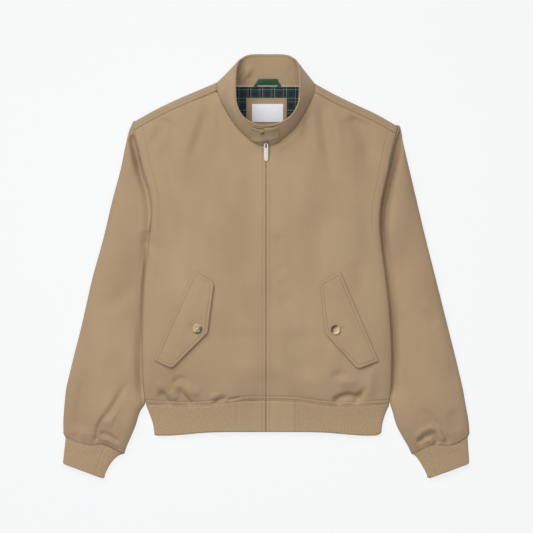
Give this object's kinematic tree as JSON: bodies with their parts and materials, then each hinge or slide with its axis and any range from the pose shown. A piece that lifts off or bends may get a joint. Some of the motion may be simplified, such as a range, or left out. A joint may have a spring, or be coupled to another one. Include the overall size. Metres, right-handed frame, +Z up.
{
  "type": "harrington jacket",
  "caption": "Zip-front harrington jacket laid flat on its back, with a buttoned stand collar, slanted flap pockets and ribbed cuffs and hem.",
  "frame": {"origin": "on the floor under the middle of the jacket's outline", "axes": "+Y towards the collar, +X to the wearer's left, +Z up out of the front"},
  "size_m": [0.752, 0.7851, 0.075],
  "materials": {
    "twill": "washed cotton twill, matt",
    "rib": "rib-knit cotton, matt",
    "lining": "brushed cotton check in green, navy, black and burgundy",
    "loop": "green woven tape",
    "label": "white satin ribbon, blank",
    "button": "horn-coloured resin, polished",
    "zip_metal": "polished nickel plate",
    "zip_tape": "woven polyester tape, matt"
  },
  "bodies": {
    "jacket": {"back_panel": "twill", "front_left": "twill", "front_right": "twill", "sleeve_left": "twill", "sleeve_right": "twill", "collar": "twill", "collar_tab": "twill", "collar_button": "button", "cuff_left": "rib", "cuff_right": "rib", "hem_rib": "rib", "hem_tab_left": "twill", "hem_tab_right": "twill", "pocket_flap_left": "twill", "pocket_flap_right": "twill", "pocket_button_left": "button", "pocket_button_right": "button", "zip_tape_left": "zip_tape", "zip_tape_right": "zip_tape", "zip_slider": "zip_metal", "lining_back_neck": "lining", "label_patch": "twill", "label": "label", "hanger_loop": "loop"},
    "zip_pull": {"zip_pull": "zip_metal"}
  },
  "joints": [
    {"name": "zip_pull_hinge", "type": "hinge", "parent": "jacket", "child": "zip_pull", "pos_m": [0, 0.22539, 0.04661], "axis": [-1, 0, 0], "range_deg": [0, 110]}
  ]
}
